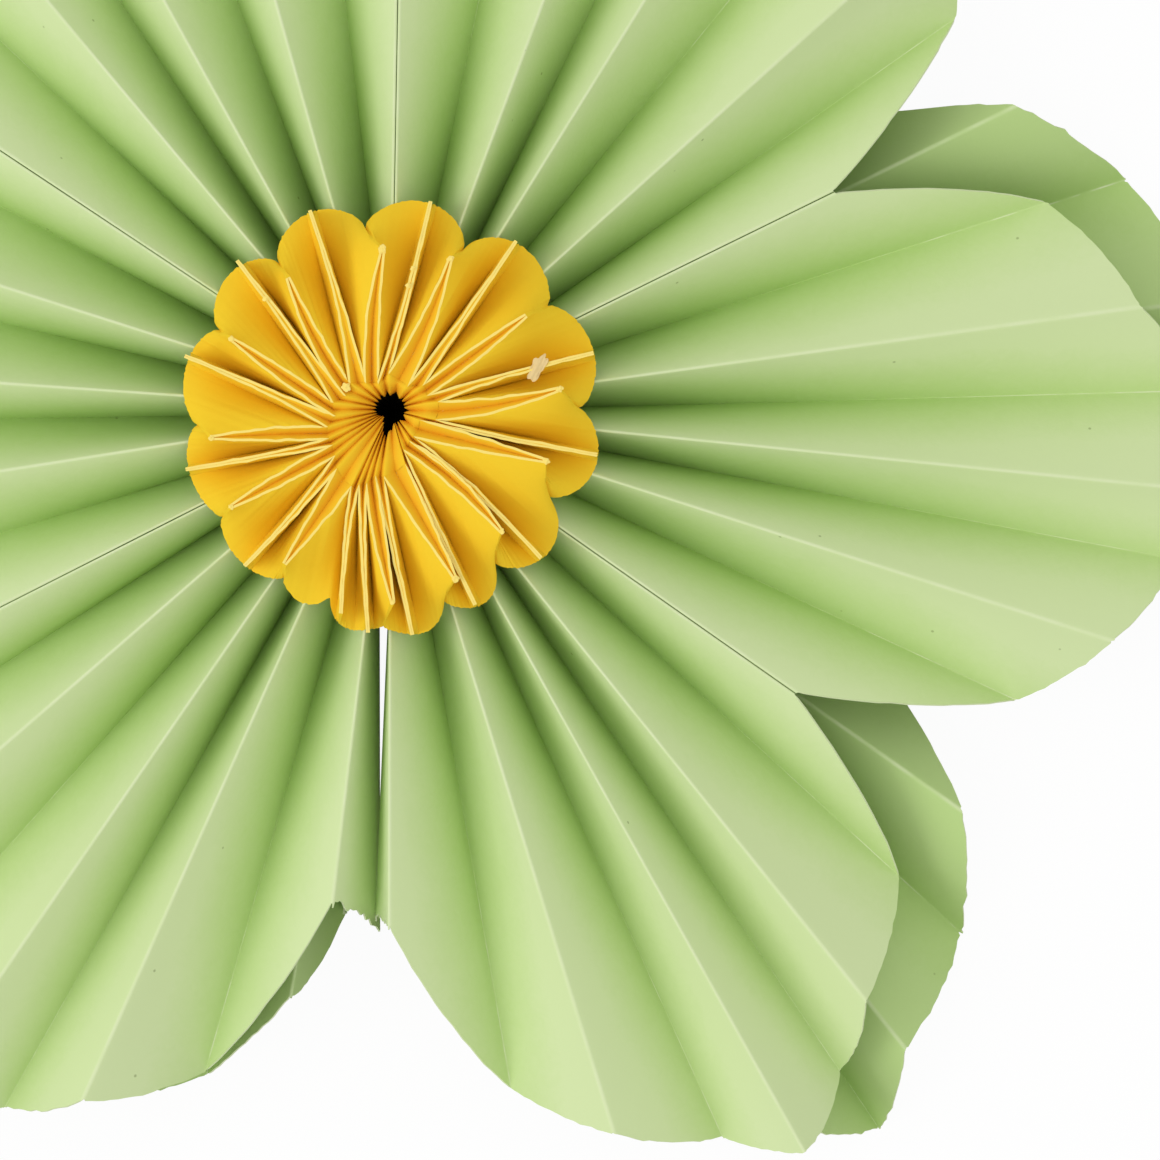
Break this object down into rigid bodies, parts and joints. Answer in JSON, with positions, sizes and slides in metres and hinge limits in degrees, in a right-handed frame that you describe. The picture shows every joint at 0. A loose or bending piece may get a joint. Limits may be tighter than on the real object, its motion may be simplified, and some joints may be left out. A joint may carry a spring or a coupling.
{
  "type": "paper flower",
  "caption": "Flower of accordion-folded green card petals in two rings, with a folded and scalloped yellow centre, used as a wall or table decoration",
  "frame": {"origin": "on the flower's centre line, on the surface that the back ring's valley folds lie on", "axes": "+Z out of the front of the flower, +Y towards the top of the flower, away from the open seam, +X to the right"},
  "size_m": [0.2959, 0.2567, 0.0384],
  "materials": {
    "green_card": "matte pale green card, scored and folded, cut by hand",
    "yellow_card": "matte deep yellow card with paler cut edges"
  },
  "bodies": {
    "root": {"front_petal_1": "green_card", "front_petal_2": "green_card", "front_petal_3": "green_card", "front_petal_4": "green_card", "front_petal_5": "green_card", "front_petal_6": "green_card", "back_petal_1": "green_card", "back_petal_2": "green_card", "back_petal_3": "green_card", "back_petal_4": "green_card", "back_petal_5": "green_card", "back_petal_6": "green_card", "centre_rosette": "yellow_card"}
  },
  "joints": []
}
